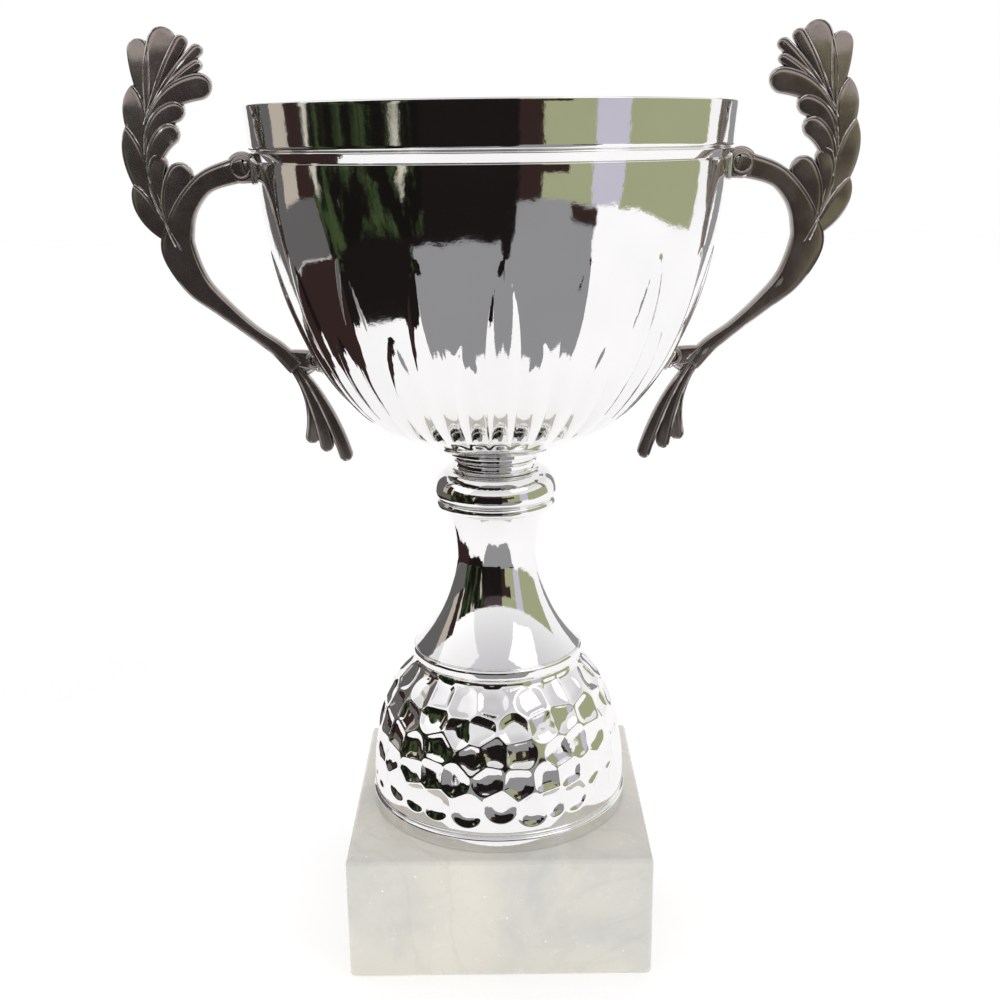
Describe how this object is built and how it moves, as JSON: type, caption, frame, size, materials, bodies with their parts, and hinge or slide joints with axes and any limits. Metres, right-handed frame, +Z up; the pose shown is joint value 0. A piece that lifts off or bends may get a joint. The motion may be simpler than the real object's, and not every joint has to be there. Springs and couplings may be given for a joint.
{
  "type": "cup trophy",
  "caption": "Two-handled cup trophy: fluted bowl with a plain rim band, turned knob and bell stem, honeycomb-textured domed foot and square marble block.",
  "frame": {"origin": "centre of the marble block's underside, on the axis that the rod and all turned pieces share", "axes": "+Z up through the bowl, +X towards the right-hand handle, -Y is the front"},
  "size_m": [0.216, 0.14, 0.2777],
  "materials": {
    "chrome_plating": "mirror-bright plating on spun and pressed metal",
    "handle_casting": "polished dark nickel plating on a flat casting",
    "steel_fastener": "plain zinc-bright steel",
    "marble": "polished off-white marble with grey clouding"
  },
  "bodies": {
    "root": {"marble_base": "marble", "foot_dome": "chrome_plating", "bell_stem": "chrome_plating", "stem_knob": "chrome_plating", "neck_ring": "chrome_plating", "bowl_collar": "chrome_plating", "bowl": "chrome_plating", "centre_rod": "steel_fastener", "base_washer": "steel_fastener", "base_nut": "steel_fastener", "bowl_washer": "steel_fastener", "bowl_nut": "steel_fastener", "right_upper_screw": "steel_fastener", "right_upper_washer": "steel_fastener", "right_lower_screw": "steel_fastener", "right_lower_washer": "steel_fastener", "left_upper_screw": "steel_fastener", "left_upper_washer": "steel_fastener", "left_lower_screw": "steel_fastener", "left_lower_washer": "steel_fastener", "right_handle": "handle_casting", "left_handle": "handle_casting"}
  },
  "joints": []
}
